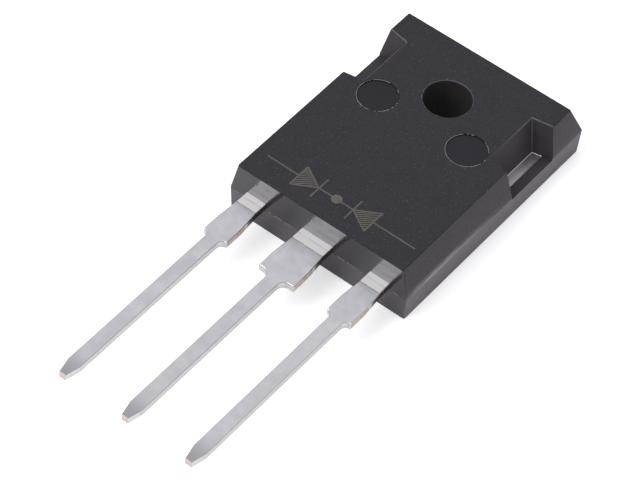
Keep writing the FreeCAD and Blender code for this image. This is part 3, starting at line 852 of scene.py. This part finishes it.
def buildHatchTree():
    # parallel lines at 45 degrees across a triangle with its base on Y and its apex towards +X
    tree, given, result = newShape("hatchedTriangle", [
        ("Apex Reach", "Float"), ("Half Base", "Float"), ("Line Pitch", "Float"), ("Line Count", "Int"),
        ("Line Width", "Float"), ("Thickness", "Float"), ("Left Base", "Vector"), ("Right Base", "Vector"),
        ("Material", "Material")])
    apex, half = given["Apex Reach"], given["Half Base"]
    ends = times(tree, given["Line Count"], 2)
    row = add(tree, "GeometryNodeMeshLine", {"Count": ends, "Offset": (0, 0, 0)})
    index = add(tree, "GeometryNodeInputIndex").outputs[0]
    odd = calc(tree, "MODULO", index, 2)
    pairs = add(tree, "GeometryNodeDeleteGeometry", {"Geometry": row.outputs[0], "Selection": odd},
                domain="EDGE", mode="EDGE_FACE")
    # each line is y = x + rise; it starts on the base or the lower side and ends on the upper side
    number = plus(tree, calc(tree, "FLOOR", over(tree, index, 2)), 0.5)
    step = times(tree, given["Line Pitch"], 2 ** 0.5)
    rise = minus(tree, times(tree, number, step), apex)
    slope = over(tree, half, apex)
    drop = minus(tree, times(tree, half, -1), rise)
    start = calc(tree, "MAXIMUM", over(tree, drop, minus(tree, 1, slope)), 0)
    finish = over(tree, minus(tree, half, rise), plus(tree, 1, slope))
    along = blendValue(tree, odd, start, finish)
    point = add(tree, "ShaderNodeCombineXYZ", {"X": along, "Y": plus(tree, along, rise)})
    placed = add(tree, "GeometryNodeSetPosition", {
        "Geometry": pairs.outputs[0], "Position": point.outputs[0]})
    lines = swept(tree, placed.outputs[0], flatProfile(tree, given["Line Width"], given["Thickness"]))
    left = add(tree, "GeometryNodeTransform", {"Geometry": lines, "Translation": given["Left Base"]})
    right = add(tree, "GeometryNodeTransform", {
        "Geometry": lines, "Translation": given["Right Base"], "Rotation": (0, 0, math.pi)})
    finishTree(tree, [left.outputs[0], right.outputs[0]], given["Material"], result)
    return tree


dotSides = 32


def buildStrokeTree():
    # edges as flat strokes, and a round dot
    tree, given, result = newShape("flatStrokes", [
        ("Stroke Width", "Float"), ("Thickness", "Float"), ("Dot Radius", "Float"), ("Dot Place", "Vector"),
        ("Material", "Material")])
    strokes = swept(tree, given["Geometry"], flatProfile(tree, given["Stroke Width"], given["Thickness"]))
    dot = add(tree, "GeometryNodeMeshCylinder", {
        "Vertices": dotSides, "Radius": given["Dot Radius"], "Depth": given["Thickness"]})
    placed = add(tree, "GeometryNodeTransform", {
        "Geometry": dot.outputs["Mesh"], "Translation": given["Dot Place"]})
    finishTree(tree, [strokes, placed.outputs[0]], given["Material"], result)
    return tree


# the flakes' sizes vary between these shares, and their gaps are roughened by the jitter
flakeMix = {"jitter": 0.35, "smallest": (0.7, 0.6, 0.6), "largest": (0.97, 1.0, 1.0)}


def buildFlakeTree():
    # short flakes along edges in broken runs, as resin leaves where two mould parts meet; round the screw
    # hole they stand in as a painted highlight of its rim
    tree, given, result = newShape("brokenFlakes", [
        ("Spacing", "Float"), ("Flake Size", "Vector"), ("Kept Share", "Float"), ("Run Length", "Float"),
        ("Seed", "Int"), ("Material", "Material")])
    line = add(tree, "GeometryNodeMeshToCurve", {"Mesh": given["Geometry"]})
    points = add(tree, "GeometryNodeResampleCurve", {
        "Curve": line.outputs[0], "Length": given["Spacing"]}, mode="LENGTH")
    place = add(tree, "GeometryNodeInputPosition").outputs[0]
    runs = noise(tree, place, over(tree, 1, given["Run Length"]), 1)
    chance = add(tree, "FunctionNodeRandomValue", {"Seed": given["Seed"]}, data_type="FLOAT").outputs[1]
    jitter = times(tree, minus(tree, chance, 0.5), flakeMix["jitter"])
    mixed = plus(tree, spread(tree, runs, *noiseSpan), jitter)
    kept = calc(tree, "LESS_THAN", mixed, given["Kept Share"])
    tangent = add(tree, "GeometryNodeInputTangent").outputs[0]
    turn = add(tree, "FunctionNodeAlignRotationToVector", {"Vector": tangent}, axis="X")
    sizes = add(tree, "FunctionNodeRandomValue", {
        0: flakeMix["smallest"], 1: flakeMix["largest"], "Seed": given["Seed"]}, data_type="FLOAT_VECTOR")
    flake = add(tree, "GeometryNodeMeshCube", {"Size": given["Flake Size"]})
    flakes = add(tree, "GeometryNodeInstanceOnPoints", {
        "Points": points.outputs[0], "Selection": kept, "Instance": flake.outputs["Mesh"],
        "Rotation": turn.outputs[0], "Scale": sizes.outputs[0]})
    finishTree(tree, [flakes.outputs[0]], given["Material"], result)
    return tree


beadSides = 10


def buildBeadTree():
    # a thin round bead along edges
    tree, given, result = newShape("roundBead", [("Bead Radius", "Float"), ("Material", "Material")])
    ring = add(tree, "GeometryNodeCurvePrimitiveCircle", {
        "Resolution": beadSides, "Radius": given["Bead Radius"]})
    finishTree(tree, [swept(tree, given["Geometry"], ring.outputs[0])], given["Material"], result)
    return tree


def edgePiece(pieceName, runs, tree, settings):
    # one tree run over the given chains of points, in millimetres, and kept as a plain mesh
    points, edges = [], []
    for run in runs:
        edges += [(len(points) + step, len(points) + step + 1) for step in range(len(run) - 1)]
        points += [Vector(point) * mm for point in run]
    mesh = bpy.data.meshes.new(pieceName)
    mesh.from_pydata(points, edges, [])
    piece = addObject(pieceName, mesh)
    shape = piece.modifiers.new("shape", "NODES")
    shape.node_group = tree
    for socket in tree.interface.items_tree:
        if socket.in_out == "INPUT" and socket.name in settings:
            shape[socket.identifier] = settings[socket.name]
    plainMesh(piece)
    with edited(piece.data) as work:
        bmesh.ops.recalc_face_normals(work, faces=work.faces)
    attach(piece, "root")
    print(pieceName, "made:", len(piece.data.polygons), "faces")


# the generic two-diode symbol, laser-marked: millimetres on the top, y from the screw hole
symbol = {
    "lineY": -12.62, "leftEnd": -6.23, "leftBase": -3.46, "leftBar": -1.66, "dot": -0.12, "rightBar": 1.34,
    "rightBase": 3.08, "rightEnd": 6.67, "apexReach": 1.75, "halfBase": 1.04, "halfBar": 1.04, "hook": 0.119,
    "strokeWidth": 0.12, "thickness": 0.02, "dotRadius": 0.4, "hatchWidth": 0.112, "hatchPitch": 0.185,
    "skin": 0.0005, "layerStep": 0.0015, "crossingStep": 0.0003, "crossingLevels": 4,
}


def symbolLevel(layer):
    # the strokes, the dot and the hatching end at slightly different heights, so no two faces share a plane
    return topZ / mm - symbol["thickness"] / 2 - symbol["skin"] - layer * symbol["layerStep"]


def symbolRuns():
    y, half, z = symbol["lineY"], symbol["halfBase"], symbolLevel(0)
    leftApex = symbol["leftBase"] + symbol["apexReach"]
    rightApex = symbol["rightBase"] - symbol["apexReach"]
    runs = [
        [(symbol["leftEnd"], y), (symbol["leftBase"], y)],
        [(symbol["rightBase"], y), (symbol["rightEnd"], y)],
        [(symbol["leftBar"], y), (symbol["rightBar"], y)]]
    for bar in (symbol["leftBar"], symbol["rightBar"]):
        runs.append([(bar, y - symbol["halfBar"]), (bar, y + symbol["halfBar"])])
    for base, apex in ((symbol["leftBase"], leftApex), (symbol["rightBase"], rightApex)):
        corners = [(base, y - half), (base, y + half), (apex, y)]
        runs += [[corners[0], corners[1]], [corners[1], corners[2]], [corners[2], corners[0]]]
    hookFrom = (symbol["rightBase"], y + half)
    runs.append([hookFrom, (hookFrom[0] + symbol["hook"], hookFrom[1] - symbol["hook"])])
    # runs that follow each other lie a touch apart in height, so that crossing ones share no plane either
    levels = [z - symbol["crossingStep"] * (order % symbol["crossingLevels"]) for order in range(len(runs))]
    return [[(x, across, level) for x, across in run] for level, run in zip(levels, runs)]


edgePiece("circuitSymbol", symbolRuns(), buildStrokeTree(), {
    "Stroke Width": symbol["strokeWidth"] * mm, "Thickness": symbol["thickness"] * mm,
    "Dot Radius": symbol["dotRadius"] * mm, "Material": finishes["laserMark"],
    "Dot Place": (symbol["dot"] * mm, symbol["lineY"] * mm, symbolLevel(1) * mm)})
hatchLines = (symbol["apexReach"] + symbol["halfBase"]) / (symbol["hatchPitch"] * 2 ** 0.5)
edgePiece("symbolHatching", [[(0, 0, 0), (0, 0, 0)]], buildHatchTree(), {
    "Apex Reach": symbol["apexReach"] * mm, "Half Base": symbol["halfBase"] * mm,
    "Line Pitch": symbol["hatchPitch"] * mm, "Line Count": int(hatchLines),
    "Line Width": symbol["hatchWidth"] * mm, "Thickness": symbol["thickness"] * mm,
    "Material": finishes["laserMark"],
    "Left Base": (symbol["leftBase"] * mm, symbol["lineY"] * mm, symbolLevel(2) * mm),
    "Right Base": (symbol["rightBase"] * mm, symbol["lineY"] * mm, symbolLevel(2) * mm)})

flakePlaces = {
    "markInset": 0.015, "holeOutset": 0.08, "ringSteps": 64, "skin": 0.0005,
    "partingReach": 7.3, "leadClearance": 1.2,
}
flakeLooks = {
    "mark": {"spacing": 0.1, "flake": (0.1, 0.036, 0.03), "kept": 0.66, "run": 0.9, "seed": 4},
    "hole": {"spacing": 0.1, "flake": (0.1, 0.024, 0.03), "kept": 0.5, "run": 0.8, "seed": 6},
    "parting": {"spacing": 0.09, "flake": (0.09, 0.03, 0.042), "kept": 0.7, "run": 0.7, "seed": 9},
}
flakeTree = buildFlakeTree()


def ringRun(centre, radius):
    # a circle on the top, low enough that the flakes keep under the part's height
    level = topZ / mm - flakeLooks["mark"]["flake"][2] / 2 - flakePlaces["skin"]
    turns = [2 * math.pi * step / flakePlaces["ringSteps"] for step in range(flakePlaces["ringSteps"] + 1)]
    x, y = centre.x / mm, centre.y / mm
    return [(x + radius * math.cos(turn), y + radius * math.sin(turn), level) for turn in turns]


def partingRuns():
    # the front wall's parting line, between the leads and outside them
    stops = [-flakePlaces["partingReach"]]
    for middle in leadMiddles:
        stops += [middle / mm - flakePlaces["leadClearance"], middle / mm + flakePlaces["leadClearance"]]
    stops.append(flakePlaces["partingReach"])
    return [[(start, frontY / mm, partingZ / mm), (end, frontY / mm, partingZ / mm)]
            for start, end in zip(stops[::2], stops[1::2]) if end > start]


def flakePiece(pieceName, runs, look):
    edgePiece(pieceName, runs, flakeTree, {
        "Spacing": look["spacing"] * mm, "Flake Size": [side * mm for side in look["flake"]],
        "Kept Share": look["kept"], "Run Length": look["run"] * mm, "Seed": look["seed"],
        "Material": finishes["mouldFlashAndRimHighlight"]})


markRing = moulding["markRadius"] - flakePlaces["markInset"]
holeRing = holeRadius / mm + flakePlaces["holeOutset"]
flakePiece("ejectorMarkFlash", [ringRun(centre, markRing) for centre in markCentres()], flakeLooks["mark"])
# painted highlight: light flakes round the screw hole stand in for the light on its rounded rim
flakePiece("holeRimPaintedHighlight", [ringRun(Vector(), holeRing)], flakeLooks["hole"])
flakePiece("partingFlash", partingRuns(), flakeLooks["parting"])

notchBead = {
    "wallX": 6.235, "halfLength": 2.13, "endX": 6.98, "endY": 2.27, "level": 2.0, "radius": 0.035,
    "cornerFoot": (6.217, 2.152, 2.0), "cornerHead": (5.626, 2.488, 4.8), "cornerRadius": 0.05,
}


def beadRuns():
    # the burr of the tab that shows at the foot of each side notch's walls
    level = notchBead["level"]
    return [[(side * notchBead["wallX"], -notchBead["halfLength"], level),
             (side * notchBead["wallX"], notchBead["halfLength"], level),
             (side * notchBead["endX"], notchBead["endY"], level)] for side in (-1, 1)]


def cornerRuns():
    # the small fillet up each corner where a side notch's walls meet
    ends = (notchBead["cornerFoot"], notchBead["cornerHead"])
    return [[(side * x, facing * y, z) for x, y, z in ends] for side in (-1, 1) for facing in (-1, 1)]


beadTree = buildBeadTree()
edgePiece("notchBurr", beadRuns(), beadTree, {
    "Bead Radius": notchBead["radius"] * mm, "Material": finishes["platedEdge"]})
# the notch fillets take the painted highlight finish
edgePiece("notchFillets", cornerRuns(), beadTree, {
    "Bead Radius": notchBead["cornerRadius"] * mm, "Material": finishes["mouldedEdge"]})


# floor, lamp and camera: metres for the lamp and the floor's size, millimetres for its level and the view

studio = {
    "worldColour": (1.0, 1.0, 1.02, 1), "worldStrength": 0.76, "horizonStrength": 0.3,
    "horizonFrom": 0.02, "horizonTo": 0.48,
    "keyToward": (-0.368, -0.529, 0.764), "keyDistance": 0.4, "keyAngle": 20.0, "keyRadiance": 3.9,
    "floorSize": 3.0, "floorLevel": -0.02, "floorColour": (0.9, 0.9, 0.9, 1),
    "floorLift": 0.42, "floorGlossLift": 0.08,
}


def buildWorld():
    # bright overhead and dimmer low down, as in a room with a soft ceiling
    world = bpy.data.worlds.new("paleRoom")
    world.use_nodes = True
    tree = world.node_tree
    sky = add(tree, "ShaderNodeTexCoord").outputs["Generated"]
    height = add(tree, "ShaderNodeSeparateXYZ", {"Vector": sky}).outputs["Z"]
    strength = spread(tree, height, studio["horizonFrom"], studio["horizonTo"],
                      studio["horizonStrength"], studio["worldStrength"], smooth=True)
    feed(tree, tree.nodes["Background"], {"Color": studio["worldColour"], "Strength": strength})
    scene.world = world


def buildKeyLamp():
    toward = Vector(studio["keyToward"]).normalized()
    radius = studio["keyDistance"] * math.tan(math.radians(studio["keyAngle"]))
    lamp = bpy.data.lights.new("softBox", "AREA")
    lamp.shape = "DISK"
    lamp.size = 2 * radius
    lamp.energy = studio["keyRadiance"] * math.pi * math.pi * radius ** 2
    holder = addObject("softBox", lamp)
    holder.location = toward * studio["keyDistance"]
    holder.rotation_euler = toward.to_track_quat("Z", "Y").to_euler()


def buildFloor():
    mesh = bpy.data.meshes.new("floor")
    half = studio["floorSize"] / 2
    level = studio["floorLevel"] * mm
    corners = [(-half, -half, level), (half, -half, level), (half, half, level), (-half, half, level)]
    mesh.from_pydata(corners, [], [(0, 1, 2, 3)])
    floor = addObject("floor", mesh)
    material = bpy.data.materials.new("palePaper")
    material.use_nodes = True
    tree = material.node_tree
    # a little light of its own for what looks straight at it or mirrors it, so the paper is white there
    paths = add(tree, "ShaderNodeLightPath").outputs
    mirrored = calc(tree, "MAXIMUM", paths["Is Glossy Ray"], paths["Is Transmission Ray"])
    lift = plus(tree, times(tree, paths["Is Camera Ray"], studio["floorLift"]),
                times(tree, mirrored, studio["floorGlossLift"]))
    feed(tree, tree.nodes["Principled BSDF"], {
        "Base Color": studio["floorColour"], "Roughness": 1.0, "Specular IOR Level": 0.0,
        "Emission Color": (1, 1, 1, 1), "Emission Strength": lift})
    mesh.materials.append(material)


view = {
    "azimuth": 34.844, "elevation": 49.841, "roll": 4.765, "lens": 170.857, "sensor": 36, "clipStart": 0.01,
    "distance": 210.42, "aim": (-0.002, -14.39, 2.2),
}


def buildCamera():
    azimuth, elevation, roll = (math.radians(view[name]) for name in ("azimuth", "elevation", "roll"))
    outward = math.cos(elevation)
    back = Vector((math.sin(azimuth) * outward, -math.cos(azimuth) * outward, math.sin(elevation)))
    level = Vector((math.cos(azimuth), math.sin(azimuth), 0))
    levelUp = back.cross(level)
    right = level * math.cos(roll) + levelUp * math.sin(roll)
    up = back.cross(right)
    lens = bpy.data.cameras.new("photoView")
    lens.lens = view["lens"]
    lens.sensor_width = view["sensor"]
    lens.clip_start = view["clipStart"]
    camera = addObject("photoView", lens)
    turn = Matrix((right, up, back)).transposed().to_4x4()
    camera.matrix_world = Matrix.Translation((Vector(view["aim"]) + back * view["distance"]) * mm) @ turn
    scene.camera = camera


buildWorld()
buildKeyLamp()
buildFloor()
buildCamera()
scene.view_settings.view_transform = "Standard"
print("studio and camera set")
